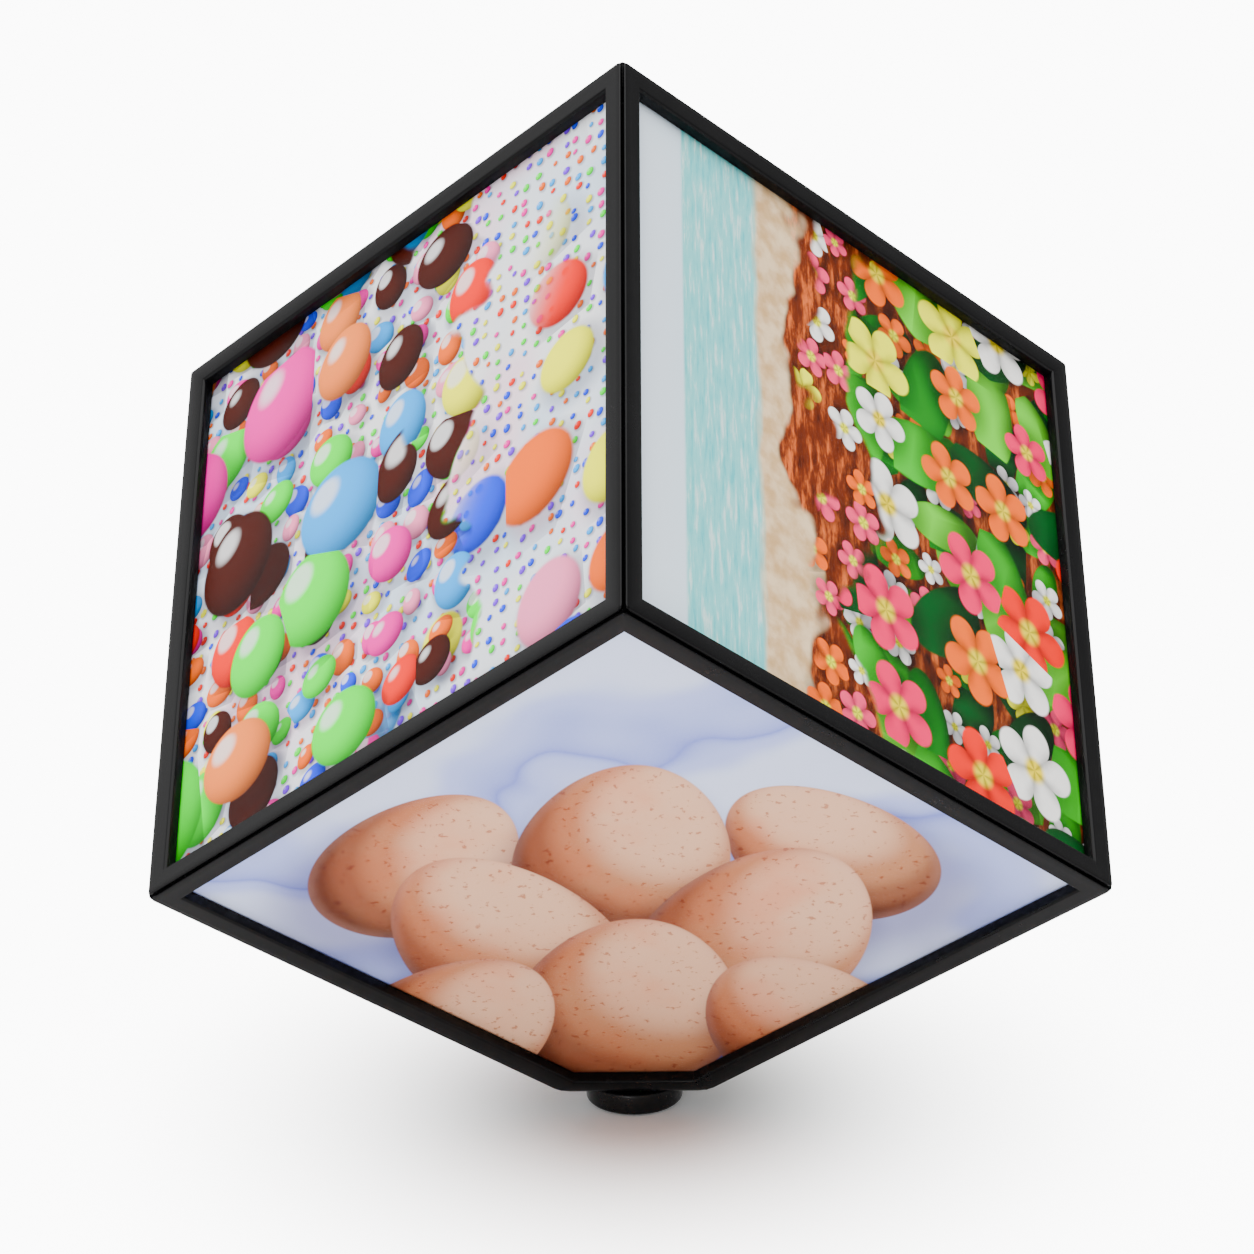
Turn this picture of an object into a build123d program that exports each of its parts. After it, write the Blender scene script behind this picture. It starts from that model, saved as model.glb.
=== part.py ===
from build123d import *
import math
import os

# Rotating photo cube. It stands on a cut corner and turns about its upright diagonal.
# The origin is the centre of the foot's underside, +Z is up and the front is towards -Y.

# Cube and picture frames, set by the print that they hold
sheet_size = 100.0
sheet_lip = 0.3
bar_width = 4.05
corner_cut = 10.75
frame_seam = 0.3
frame_corner_radius = 1.5
frame_edge_bevel = 0.8
cut_bar_width = 2.8
bar_fall = 0.25
bar_fall_width = 2.4
cut_fall_width = 1.6
picture_recess = 2.2

# Cover sheet, print and back plate of each tray
sheet_clearance = 0.1
cover_thickness = 0.3
print_thickness = 0.25
pocket_rim = 0.5
back_thickness = 1.2
leg_width = 2.6
leg_slit = 0.6
leg_inset = 8.0
leg_reach = 0.8
leg_clearance = 0.35

# Core
tray_clearance = 0.3
core_wall = 2.0
hub_radius = 3.8
hub_height = 8.0
bush_radius = 3.0
bush_flange_radius = 3.5
bush_flange_thickness = 0.8

# Foot, pad and spindle
foot_radius = 8.25
foot_height = 4.0
foot_gap = 0.3
foot_bevel = 0.5
pad_radius = 7.3
pad_thickness = 1.0
pad_proud = 0.3
washer_radius = 3.4
washer_clearance = 0.05
spindle_radius = 2.0
pivot_radius = 0.9
clip_radius = 3.4
clip_thickness = 0.6
clip_groove_depth = 0.4

# Fits and overruns
running_clearance = 0.05
push_clearance = 0.02

# Gear train
gear_module = 0.75
wheel_teeth = 32
pinion_teeth = 8
pressure_angle = 20.0
tooth_addendum_share = 0.82
tooth_dedendum_share = 1.2
tooth_width_share = 0.43
wheel_thickness = 1.5
fixed_gear_thickness = 2.2
level_gap = 0.4
arbor_radius = 0.9
wheel_hole_radius = 2.4
wheel_hole_place = 6.7

# Gearbox plates and posts
plate_thickness = 1.5
plate_margin = 2.7
plate_clearance = 1.34071
post_radius = 2.4
post_gap = 1.185
boss_radius = 3.0
stake_width = 2.0

# Motor
motor_radius = 10.0
motor_width = 15.4
motor_length = 20.0
motor_neck_radius = 3.0
motor_cap_length = 3.0
motor_cap_inset = 0.4
terminal_width = 2.0
terminal_height = 4.0
terminal_thickness = 0.4
terminal_spread = 5.4
shaft_radius = 1.0

# Battery holder, cell and contacts
cell_radius = 7.2
cell_length = 49.4
cell_nub_radius = 2.7
cell_nub_length = 1.1
holder_wall = 1.2
holder_play = 0.3
holder_flange_width = 2.0
holder_flange_thickness = 1.0
holder_top_gap = 0.4
contact_space = 2.2
contact_thickness = 0.35
contact_width = 8.0
contact_play = 0.1

# Switch
switch_length = 9.0
switch_width = 4.0
switch_depth = 4.2
switch_wall = 0.8
slider_length = 3.4
slider_travel = 2.0
slider_clearance = 0.3
slider_neck_length = 1.6
slider_neck_width = 1.2
switch_gap = 4.5

# The cube's middle and corner, worked out from the sizes above
picture_opening = sheet_size - 2 * sheet_lip
cube_edge = picture_opening + 2 * bar_width
cube_half = cube_edge / 2
cut_height = foot_height + foot_gap
cube_centre_height = cut_height - corner_cut + cube_half * math.sqrt(3)
seam_inset = frame_seam / math.sqrt(2)
corner_sum = cube_edge - corner_cut * math.sqrt(3)
opening_half = picture_opening / 2
opening_sum = corner_sum - cut_bar_width * math.sqrt(2)
sheet_half = sheet_size / 2
sheet_sum = opening_sum + sheet_lip * math.sqrt(2)
pocket_half = sheet_half + sheet_clearance
pocket_sum = sheet_sum + sheet_clearance * math.sqrt(2)
back_sum = pocket_sum + pocket_rim * math.sqrt(2)
print_depth = picture_recess + cover_thickness
back_depth = print_depth + print_thickness
core_depth = back_depth + back_thickness + tray_clearance
core_half = cube_half - core_depth
leg_place = cube_half - seam_inset - back_depth - leg_inset
leg_length = tray_clearance + core_wall + leg_reach
face_tilt = math.degrees(math.atan(1 / math.sqrt(2)))

# The gearbox's place: its posts stand round the middle wheel, and its plates clear the core's sloping walls
toward_arbor = 90
toward_spindle = toward_arbor + 180
gear_distance = gear_module * (wheel_teeth + pinion_teeth) / 2
arbor_place = (
    gear_distance * math.cos(math.radians(toward_arbor)),
    gear_distance * math.sin(math.radians(toward_arbor)),
)
wheel_tip_radius = gear_module * (wheel_teeth / 2 + tooth_addendum_share)
post_circle_radius = wheel_tip_radius + post_radius + post_gap
plate_reach = post_circle_radius + plate_margin
core_inner_vertex = cube_centre_height - (core_half - core_wall) * math.sqrt(3)
gearbox_height = core_inner_vertex + (plate_reach + plate_clearance) * math.sqrt(2)

os.makedirs("parts", exist_ok=True)


def save(piece, name):
    """Give a finished piece its name and write it."""
    piece.label = name
    export_step(piece, "parts/" + name + ".step")


def heading(azimuth, elevation):
    """Unit direction at an azimuth counted from the front towards the right, and an elevation."""
    turn = math.radians(azimuth)
    rise = math.radians(elevation)
    return Vector(
        math.sin(turn) * math.cos(rise),
        -math.cos(turn) * math.cos(rise),
        math.sin(rise),
    )


def face_plane(azimuth, side, depth):
    """Plane of one cube face, sunk by a depth, with x and y along the edges that run to the pole."""
    outward = heading(azimuth, side * face_tilt)
    along = heading(azimuth + side * 120, side * face_tilt)
    middle = Vector(0, 0, cube_centre_height) + outward * (cube_half - depth)
    return Plane(origin=middle, x_dir=along, z_dir=outward)


def mitre_half(depth):
    """Half the width of a tray between its mitred sides at a depth."""
    return cube_half - seam_inset - depth


def mitre_planes(surface):
    """The four planes that mitre a tray's sides, each halving the cube's right angle."""
    sides = (surface.x_dir, -surface.x_dir, surface.y_dir, -surface.y_dir)
    return [Plane(surface.origin + way * mitre_half(0), z_dir=way - surface.z_dir) for way in sides]


def face_shape(side, half, line_sum):
    """Outline of a sheet or opening: square, on the lower faces with its pole corner cut off."""
    if side > 0:
        Rectangle(2 * half, 2 * half)
    else:
        Polygon(
            (-half, -half),
            (half, -half),
            (half, line_sum - half),
            (line_sum - half, half),
            (-half, half),
            align=None,
        )


tray_faces = [
    ("upper_left", -60, 1),
    ("upper_right", 60, 1),
    ("upper_back", 180, 1),
    ("lower_front", 0, -1),
    ("lower_right", 120, -1),
    ("lower_left", -120, -1),
]


def leg_spots(side):
    """Places of a tray's legs: four, or three where the pole corner is cut."""
    spots = [(-leg_place, -leg_place), (leg_place, -leg_place), (-leg_place, leg_place)]
    if side > 0:
        spots.append((leg_place, leg_place))
    return spots


# Picture frames: moulded bars with mitred sides, rounded edges and a pocket for the sheets behind


def make_frame(azimuth, side):
    surface = face_plane(azimuth, side, 0)
    with BuildPart() as frame:
        with BuildSketch(surface):
            Rectangle(2 * mitre_half(0), 2 * mitre_half(0))
        extrude(amount=-back_depth)
        for mitre in mitre_planes(surface):
            split(bisect_by=mitre, keep=Keep.BOTTOM)
        if side < 0:
            split(bisect_by=Plane.XY.offset(cut_height), keep=Keep.TOP)
        corners = frame.edges().filter_by(
            lambda edge: edge.length < 3 * back_depth
            and abs(edge.tangent_at(0).dot(surface.z_dir)) > 0.3
        )
        fillet(corners, frame_corner_radius)
        outer_face = frame.faces().sort_by(Axis(surface.origin, surface.z_dir))[-1]
        chamfer(outer_face.edges(), frame_edge_bevel)
        with BuildSketch(surface):
            face_shape(side, opening_half, opening_sum)
        extrude(amount=-back_depth, mode=Mode.SUBTRACT)
        with BuildSketch(face_plane(azimuth, side, back_depth)):
            face_shape(side, pocket_half, pocket_sum)
        extrude(amount=back_depth - picture_recess, mode=Mode.SUBTRACT)
        with BuildSketch(surface):
            face_shape(side, opening_half + bar_fall_width, opening_sum + cut_fall_width * math.sqrt(2))
        with BuildSketch(face_plane(azimuth, side, bar_fall)):
            face_shape(side, opening_half, opening_sum)
        loft(ruled=True, mode=Mode.SUBTRACT)
    return frame.part


# Sheets: the clear cover and the print, loose in the frame's pocket


def make_sheet(azimuth, side, depth, thickness):
    with BuildPart() as sheet:
        with BuildSketch(face_plane(azimuth, side, depth)):
            face_shape(side, sheet_half, sheet_sum)
        extrude(amount=-thickness)
    return sheet.part


# Back plates: they close the frames from behind and hold the tray on the core by split legs


def make_back(azimuth, side):
    rear = face_plane(azimuth, side, back_depth + back_thickness)
    with BuildPart() as back:
        with BuildSketch(face_plane(azimuth, side, back_depth)):
            face_shape(side, mitre_half(back_depth), back_sum)
        extrude(amount=-back_thickness, taper=45)
        with BuildSketch(rear):
            with Locations(*leg_spots(side)):
                Rectangle(leg_width, leg_width)
        extrude(amount=-leg_length)
        with BuildSketch(rear.offset(-leg_length)):
            with Locations(*leg_spots(side)):
                Rectangle(leg_slit, 2 * leg_width)
        extrude(amount=core_wall + leg_reach, mode=Mode.SUBTRACT)
    return back.part


for tray_name, azimuth, side in tray_faces:
    save(make_frame(azimuth, side), tray_name + "_frame")
    save(make_sheet(azimuth, side, picture_recess, cover_thickness), tray_name + "_cover")
    save(make_sheet(azimuth, side, print_depth, print_thickness), tray_name + "_print")
    save(make_back(azimuth, side), tray_name + "_back")


# Battery bay and switch, set in the lower right wall with their length level

bay_azimuth = 120
holder_inner_length = cell_length + cell_nub_length + 2 * contact_space
holder_inner_width = 2 * (cell_radius + holder_play)
holder_inner_depth = holder_top_gap + 2 * cell_radius + holder_play
holder_length = holder_inner_length + 2 * holder_wall
holder_width = holder_inner_width + 2 * holder_wall
holder_depth = holder_inner_depth + holder_wall
flange_length = holder_length + 2 * holder_flange_width
flange_width = holder_width + 2 * holder_flange_width
switch_place = flange_width / 2 + switch_gap


def bay_plane(depth):
    """Plane of the battery bay at a depth, with x level along the wall."""
    outward = heading(bay_azimuth, -face_tilt)
    middle = Vector(0, 0, cube_centre_height) + outward * (cube_half - depth)
    return Plane(origin=middle, x_dir=heading(bay_azimuth + 90, 0), z_dir=outward)


# Core: two shells of three walls each, mitred together along the cube's middle edges

with BuildPart() as core_upper:
    for tray_name, azimuth, side in tray_faces[:3]:
        with BuildSketch(face_plane(azimuth, side, core_depth)):
            Rectangle(2 * core_half, 2 * core_half)
        extrude(amount=-core_wall, taper=45)
    for tray_name, azimuth, side in tray_faces[:3]:
        with BuildSketch(face_plane(azimuth, side, core_depth)):
            with Locations(*leg_spots(side)):
                Rectangle(leg_width + 2 * leg_clearance, leg_width + 2 * leg_clearance)
        extrude(amount=-core_wall, mode=Mode.SUBTRACT)
save(core_upper.part, "core_upper")

hub_top = cut_height + hub_height
with BuildPart() as core_lower:
    with BuildSketch(Plane.XY.offset(hub_top)):
        with PolarLocations(post_circle_radius, 3, start_angle=toward_spindle):
            RegularPolygon(boss_radius, 6)
    extrude(amount=gearbox_height - hub_top)
    with BuildSketch(face_plane(0, -1, core_depth)):
        Rectangle(2 * core_half, 2 * core_half)
    extrude(amount=-2 * core_half, mode=Mode.INTERSECT)
    for tray_name, azimuth, side in tray_faces[3:]:
        with BuildSketch(face_plane(azimuth, side, core_depth)):
            Rectangle(2 * core_half, 2 * core_half)
        extrude(amount=-core_wall, taper=45)
    split(bisect_by=Plane.XY.offset(cut_height), keep=Keep.TOP)
    with BuildSketch(Plane.XY.offset(cut_height)):
        Circle(hub_radius)
    extrude(amount=hub_height)
    with BuildSketch(Plane.XY.offset(cut_height)):
        Circle(bush_radius + push_clearance)
    extrude(amount=hub_height, mode=Mode.SUBTRACT)
    for tray_name, azimuth, side in tray_faces[3:]:
        with BuildSketch(face_plane(azimuth, side, core_depth)):
            with Locations(*leg_spots(side)):
                Rectangle(leg_width + 2 * leg_clearance, leg_width + 2 * leg_clearance)
        extrude(amount=-core_wall, mode=Mode.SUBTRACT)
    with BuildSketch(Plane.XY.offset(gearbox_height)):
        with PolarLocations(post_circle_radius, 3, start_angle=toward_spindle):
            Rectangle(stake_width, stake_width)
    extrude(amount=plate_thickness)
    with BuildSketch(bay_plane(core_depth)):
        Rectangle(flange_length + 2 * push_clearance, flange_width + 2 * push_clearance)
    extrude(amount=-holder_flange_thickness, mode=Mode.SUBTRACT)
    with BuildSketch(bay_plane(core_depth)):
        Rectangle(holder_length + 2 * push_clearance, holder_width + 2 * push_clearance)
        with Locations((0, switch_place)):
            Rectangle(switch_length + 2 * push_clearance, switch_width + 2 * push_clearance)
    extrude(amount=-core_wall, mode=Mode.SUBTRACT)
save(core_lower.part, "core_lower")

with BuildPart() as hub_bush:
    with BuildSketch(Plane.XY.offset(cut_height)):
        Circle(bush_radius)
    extrude(amount=hub_height + bush_flange_thickness)
    with BuildSketch(Plane.XY.offset(hub_top)):
        Circle(bush_flange_radius)
    extrude(amount=bush_flange_thickness)
    with BuildSketch(Plane.XY.offset(cut_height)):
        Circle(spindle_radius + running_clearance)
    extrude(amount=hub_height + bush_flange_thickness, mode=Mode.SUBTRACT)
save(hub_bush.part, "hub_bush")


# Foot: a turned disc with a rubber pad in its underside and the spindle fixed in its middle

with BuildPart() as foot:
    with BuildSketch(Plane.XY.offset(pad_proud)):
        Circle(foot_radius)
    extrude(amount=foot_height - pad_proud)
    chamfer(foot.edges().sort_by(Axis.Z)[0], foot_bevel)
    with BuildSketch(Plane.XY.offset(pad_proud)):
        Circle(pad_radius + push_clearance)
    extrude(amount=pad_thickness - pad_proud, mode=Mode.SUBTRACT)
    with BuildSketch(Plane.XY.offset(pad_thickness)):
        Circle(spindle_radius + push_clearance)
    extrude(amount=foot_height - pad_thickness, mode=Mode.SUBTRACT)
save(foot.part, "foot")

with BuildPart() as foot_pad:
    with BuildSketch():
        Circle(pad_radius)
    extrude(amount=pad_thickness)
save(foot_pad.part, "foot_pad")

with BuildPart() as thrust_washer:
    with BuildSketch(Plane.XY.offset(foot_height)):
        Circle(washer_radius)
        Circle(spindle_radius + push_clearance, mode=Mode.SUBTRACT)
    extrude(amount=foot_gap - washer_clearance)
save(thrust_washer.part, "thrust_washer")

fixed_gear_bottom = gearbox_height + plate_thickness + level_gap
fixed_gear_top = fixed_gear_bottom + fixed_gear_thickness
gear_level = wheel_thickness + level_gap
third_wheel_bottom = fixed_gear_top + level_gap
second_wheel_bottom = third_wheel_bottom + gear_level
first_wheel_bottom = second_wheel_bottom + gear_level
pinion_top = first_wheel_bottom + gear_level
upper_plate_bottom = pinion_top + level_gap
upper_plate_top = upper_plate_bottom + plate_thickness
clip_bottom = hub_top + bush_flange_thickness + foot_gap
pivot_top = second_wheel_bottom + wheel_thickness

with BuildPart() as spindle:
    with BuildSketch(Plane.XY.offset(pad_thickness)):
        Circle(spindle_radius)
    extrude(amount=fixed_gear_top - pad_thickness)
    with BuildSketch(Plane.XY.offset(fixed_gear_top)):
        Circle(pivot_radius)
    extrude(amount=pivot_top - fixed_gear_top)
    with BuildSketch(Plane.XY.offset(clip_bottom - push_clearance)):
        Circle(spindle_radius)
        Circle(spindle_radius - clip_groove_depth, mode=Mode.SUBTRACT)
    extrude(amount=clip_thickness + 2 * push_clearance, mode=Mode.SUBTRACT)
save(spindle.part, "spindle")

with BuildPart() as spindle_clip:
    with BuildSketch(Plane.XY.offset(clip_bottom)):
        Circle(clip_radius)
        Circle(spindle_radius - clip_groove_depth + push_clearance, mode=Mode.SUBTRACT)
        with Locations((clip_radius, 0)):
            Rectangle(2 * clip_radius, spindle_radius, mode=Mode.SUBTRACT)
    extrude(amount=clip_thickness)
save(spindle_clip.part, "spindle_clip")


# Gear train: involute teeth, the first gear fixed on the spindle, three double gears and a pinion


def tooth_half_angle(radius, teeth):
    """Half the angle that a tooth spans at a radius, from the involute of its base circle."""
    base_radius = gear_module * teeth / 2 * math.cos(math.radians(pressure_angle))
    pitch_flank = math.radians(pressure_angle)
    flank = math.acos(min(1, base_radius / radius))
    pitch_involute = math.tan(pitch_flank) - pitch_flank
    involute = math.tan(flank) - flank
    return math.pi * tooth_width_share / teeth + pitch_involute - involute


def gear_outline(teeth, facing_angle, facing_tooth):
    """Points of a gear with a tooth, or else a gap, turned to an angle.

    A pinion's flank takes three points and a wheel's, which is nearly straight, two."""
    pitch_radius = gear_module * teeth / 2
    root_radius = pitch_radius - tooth_dedendum_share * gear_module
    tip_radius = pitch_radius + tooth_addendum_share * gear_module
    flank = [root_radius, pitch_radius, tip_radius]
    if teeth > pinion_teeth:
        flank.remove(pitch_radius)
    first_angle = facing_angle if facing_tooth else facing_angle + 180 / teeth
    points = []
    for tooth in range(teeth):
        middle = math.radians(first_angle + 360 * tooth / teeth)
        for edge, radii in ((-1, flank), (1, reversed(flank))):
            for radius in radii:
                angle = middle + edge * tooth_half_angle(radius, teeth)
                points.append((radius * math.cos(angle), radius * math.sin(angle)))
    return points


def make_double_gear(place, bottom, pinion_faces, wheel_faces):
    """Pinion below and wheel above in one moulding, with lightening holes and a bore for its pin."""
    with BuildPart() as gear:
        with BuildSketch(Plane.XY.offset(bottom)):
            with Locations(place):
                Polygon(*gear_outline(pinion_teeth, pinion_faces, False), align=None)
        extrude(amount=gear_level)
        with BuildSketch(Plane.XY.offset(bottom + gear_level)):
            with Locations(place):
                Polygon(*gear_outline(wheel_teeth, wheel_faces, True), align=None)
                with PolarLocations(wheel_hole_place, 4):
                    RegularPolygon(wheel_hole_radius, 6, mode=Mode.SUBTRACT)
        extrude(amount=wheel_thickness)
        with BuildSketch(Plane.XY.offset(bottom)):
            with Locations(place):
                Circle(arbor_radius + running_clearance)
        extrude(amount=gear_level + wheel_thickness, mode=Mode.SUBTRACT)
    return gear.part


with BuildPart() as fixed_gear:
    with BuildSketch(Plane.XY.offset(fixed_gear_bottom)):
        Polygon(*gear_outline(wheel_teeth, toward_arbor, True), align=None)
        Circle(spindle_radius + push_clearance, mode=Mode.SUBTRACT)
    extrude(amount=fixed_gear_thickness)
save(fixed_gear.part, "fixed_gear")

third_bottom = third_wheel_bottom - gear_level
save(make_double_gear(arbor_place, third_bottom, toward_spindle, toward_spindle), "gear_3")
save(make_double_gear((0, 0), third_wheel_bottom, toward_arbor, toward_arbor), "gear_2")
save(make_double_gear(arbor_place, second_wheel_bottom, toward_spindle, toward_spindle), "gear_1")

with BuildPart() as motor_pinion:
    with BuildSketch(Plane.XY.offset(first_wheel_bottom)):
        Polygon(*gear_outline(pinion_teeth, toward_arbor, False), align=None)
        Circle(shaft_radius + push_clearance, mode=Mode.SUBTRACT)
    extrude(amount=gear_level)
save(motor_pinion.part, "motor_pinion")

with BuildPart() as gear_arbor:
    with BuildSketch(Plane.XY.offset(gearbox_height)):
        with Locations(arbor_place):
            Circle(arbor_radius)
    extrude(amount=upper_plate_top - gearbox_height)
save(gear_arbor.part, "gear_arbor")


# Gearbox: a lower plate with three posts, staked on the core's bosses, and an upper plate staked on the posts

stake_hole_width = stake_width + 2 * push_clearance

with BuildPart() as gearbox_lower_plate:
    with BuildSketch(Plane.XY.offset(gearbox_height)):
        RegularPolygon(plate_reach, 6, major_radius=False)
        Circle(spindle_radius + running_clearance, mode=Mode.SUBTRACT)
        with Locations(arbor_place):
            Circle(arbor_radius + push_clearance, mode=Mode.SUBTRACT)
        with PolarLocations(post_circle_radius, 3, start_angle=toward_spindle):
            Rectangle(stake_hole_width, stake_hole_width, mode=Mode.SUBTRACT)
    extrude(amount=plate_thickness)
    with BuildSketch(Plane.XY.offset(gearbox_height + plate_thickness)):
        with PolarLocations(post_circle_radius, 3, start_angle=toward_spindle):
            RegularPolygon(post_radius, 6)
    extrude(amount=upper_plate_bottom - gearbox_height - plate_thickness)
    with BuildSketch(Plane.XY.offset(upper_plate_bottom)):
        with PolarLocations(post_circle_radius, 3, start_angle=toward_spindle):
            Rectangle(stake_width, stake_width)
    extrude(amount=plate_thickness)
save(gearbox_lower_plate.part, "gearbox_lower_plate")

with BuildPart() as gearbox_upper_plate:
    with BuildSketch(Plane.XY.offset(upper_plate_bottom)):
        RegularPolygon(plate_reach, 6, major_radius=False)
        Circle(motor_neck_radius + push_clearance, mode=Mode.SUBTRACT)
        with Locations(arbor_place):
            Circle(arbor_radius + push_clearance, mode=Mode.SUBTRACT)
        with PolarLocations(post_circle_radius, 3, start_angle=toward_spindle):
            Rectangle(stake_hole_width, stake_hole_width, mode=Mode.SUBTRACT)
    extrude(amount=plate_thickness)
save(gearbox_upper_plate.part, "gearbox_upper_plate")


# Motor: a steel can with two flats, a plastic end cap with terminals, and the shaft

motor_top = upper_plate_top + motor_length

with BuildPart() as motor_can:
    with BuildSketch(Plane.XY.offset(upper_plate_top)):
        Circle(motor_radius)
        Rectangle(2 * motor_radius, motor_width, mode=Mode.INTERSECT)
    extrude(amount=motor_length)
    with BuildSketch(Plane.XY.offset(upper_plate_bottom)):
        Circle(motor_neck_radius)
    extrude(amount=plate_thickness)
    with BuildSketch(Plane.XY.offset(upper_plate_bottom)):
        Circle(shaft_radius + running_clearance)
    extrude(amount=motor_top - upper_plate_bottom, mode=Mode.SUBTRACT)
save(motor_can.part, "motor_can")

with BuildPart() as motor_cap:
    with BuildSketch(Plane.XY.offset(motor_top)):
        Circle(motor_radius - motor_cap_inset)
        Rectangle(2 * motor_radius, motor_width - 2 * motor_cap_inset, mode=Mode.INTERSECT)
        with Locations((-terminal_spread, 0), (terminal_spread, 0)):
            Rectangle(
                terminal_thickness + 2 * push_clearance,
                terminal_width + 2 * push_clearance,
                mode=Mode.SUBTRACT,
            )
    extrude(amount=motor_cap_length)
save(motor_cap.part, "motor_cap")

with BuildPart() as motor_terminals:
    with BuildSketch(Plane.XY.offset(motor_top)):
        with Locations((-terminal_spread, 0), (terminal_spread, 0)):
            Rectangle(terminal_thickness, terminal_width)
    extrude(amount=motor_cap_length + terminal_height)
save(motor_terminals.part, "motor_terminals")

with BuildPart() as motor_shaft:
    with BuildSketch(Plane.XY.offset(first_wheel_bottom)):
        Circle(shaft_radius)
    extrude(amount=motor_top - first_wheel_bottom)
save(motor_shaft.part, "motor_shaft")


# Battery holder, cell and contacts, set in the window of the lower right wall

cell_axis_depth = core_depth + holder_top_gap + cell_radius
cell_start = holder_inner_length / 2 - contact_space

with BuildPart() as battery_holder:
    with BuildSketch(bay_plane(core_depth)):
        Rectangle(holder_length, holder_width)
    extrude(amount=-holder_depth)
    with BuildSketch(bay_plane(core_depth)):
        Rectangle(flange_length, flange_width)
    extrude(amount=-holder_flange_thickness)
    with BuildSketch(bay_plane(core_depth)):
        Rectangle(holder_inner_length, holder_inner_width)
    extrude(amount=-holder_inner_depth, mode=Mode.SUBTRACT)
save(battery_holder.part, "battery_holder")


def cell_end_plane(place):
    """Plane across the cell's axis at a place along the bay."""
    bay = bay_plane(cell_axis_depth)
    return Plane(origin=bay.origin + bay.x_dir * place, x_dir=bay.y_dir, z_dir=bay.x_dir)


with BuildPart() as battery_cell:
    with BuildSketch(cell_end_plane(-cell_start)):
        Circle(cell_radius)
    extrude(amount=cell_length)
    with BuildSketch(cell_end_plane(-cell_start + cell_length)):
        Circle(cell_nub_radius)
    extrude(amount=cell_nub_length)
save(battery_cell.part, "battery_cell")

with BuildPart() as positive_contact:
    with BuildSketch(cell_end_plane(holder_inner_length / 2)):
        Rectangle(contact_width, contact_width)
    extrude(amount=-contact_thickness)
    with BuildSketch(cell_end_plane(holder_inner_length / 2 - contact_thickness)):
        Circle(cell_nub_radius)
    extrude(amount=-(contact_space - contact_thickness - contact_play))
save(positive_contact.part, "positive_contact")

leaf_plane = Plane(
    origin=bay_plane(cell_axis_depth).origin,
    x_dir=bay_plane(cell_axis_depth).x_dir,
    z_dir=-bay_plane(cell_axis_depth).y_dir,
)
leaf_wall_place = -holder_inner_length / 2 + contact_thickness / 2
leaf_tip_place = -cell_start - contact_play - contact_thickness

with BuildPart() as negative_contact:
    with BuildSketch(leaf_plane):
        with BuildLine():
            FilletPolyline(
                (leaf_wall_place, contact_width / 2),
                (leaf_wall_place, -contact_width / 2),
                (leaf_tip_place, -contact_width / 4),
                (leaf_tip_place, contact_width / 4),
                radius=2 * contact_thickness,
            )
        trace(line_width=contact_thickness)
    extrude(amount=contact_width / 2, both=True)
save(negative_contact.part, "negative_contact")


# Switch: a slide switch set in a slot of the same wall, its slider level with the wall's face

slider_space = slider_length + slider_travel + 2 * slider_clearance
neck_space = slider_neck_length + slider_travel + 2 * slider_clearance
cavity_depth = switch_depth - 2 * switch_wall
slider_height = cavity_depth - 2 * slider_clearance

with BuildPart() as switch_housing:
    with BuildSketch(bay_plane(core_depth)):
        with Locations((0, switch_place)):
            Rectangle(switch_length, switch_width)
    extrude(amount=-switch_depth)
    with BuildSketch(bay_plane(core_depth + switch_wall)):
        with Locations((0, switch_place)):
            Rectangle(slider_space, switch_width - 2 * switch_wall)
    extrude(amount=-cavity_depth, mode=Mode.SUBTRACT)
    with BuildSketch(bay_plane(core_depth)):
        with Locations((0, switch_place)):
            Rectangle(neck_space, slider_neck_width + 2 * slider_clearance)
    extrude(amount=-switch_wall, mode=Mode.SUBTRACT)
save(switch_housing.part, "switch_housing")

with BuildPart() as switch_slider:
    with BuildSketch(bay_plane(core_depth)):
        with Locations((-slider_travel / 2, switch_place)):
            Rectangle(slider_neck_length, slider_neck_width)
    extrude(amount=-(switch_wall + slider_clearance + slider_height))
    with BuildSketch(bay_plane(core_depth + switch_wall + slider_clearance)):
        with Locations((-slider_travel / 2, switch_place)):
            Rectangle(slider_length, switch_width - 2 * switch_wall - 2 * slider_clearance)
    extrude(amount=-slider_height)
save(switch_slider.part, "switch_slider")
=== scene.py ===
import math

import bmesh
import bpy
from mathutils import Matrix, Vector


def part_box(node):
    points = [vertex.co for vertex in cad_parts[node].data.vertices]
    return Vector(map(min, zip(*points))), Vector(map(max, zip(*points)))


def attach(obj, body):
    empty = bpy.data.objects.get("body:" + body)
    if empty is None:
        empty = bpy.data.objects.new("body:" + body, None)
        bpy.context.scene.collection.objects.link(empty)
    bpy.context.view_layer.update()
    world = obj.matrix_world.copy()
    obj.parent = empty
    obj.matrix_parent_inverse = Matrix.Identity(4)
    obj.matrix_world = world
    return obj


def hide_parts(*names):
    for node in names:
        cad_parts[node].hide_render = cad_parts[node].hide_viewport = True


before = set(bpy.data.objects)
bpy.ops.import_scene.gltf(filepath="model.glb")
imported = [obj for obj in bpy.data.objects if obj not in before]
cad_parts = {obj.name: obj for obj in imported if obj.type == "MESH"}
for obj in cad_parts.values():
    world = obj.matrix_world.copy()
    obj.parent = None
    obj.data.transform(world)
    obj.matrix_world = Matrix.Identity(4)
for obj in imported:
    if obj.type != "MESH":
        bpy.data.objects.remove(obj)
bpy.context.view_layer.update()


# Foot
# A short disc of black ABS, moulded with a smooth wall and dished for the rubber pad under it.
# The steel spindle is pressed into its middle, so the foot stands still while the cube turns.

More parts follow.
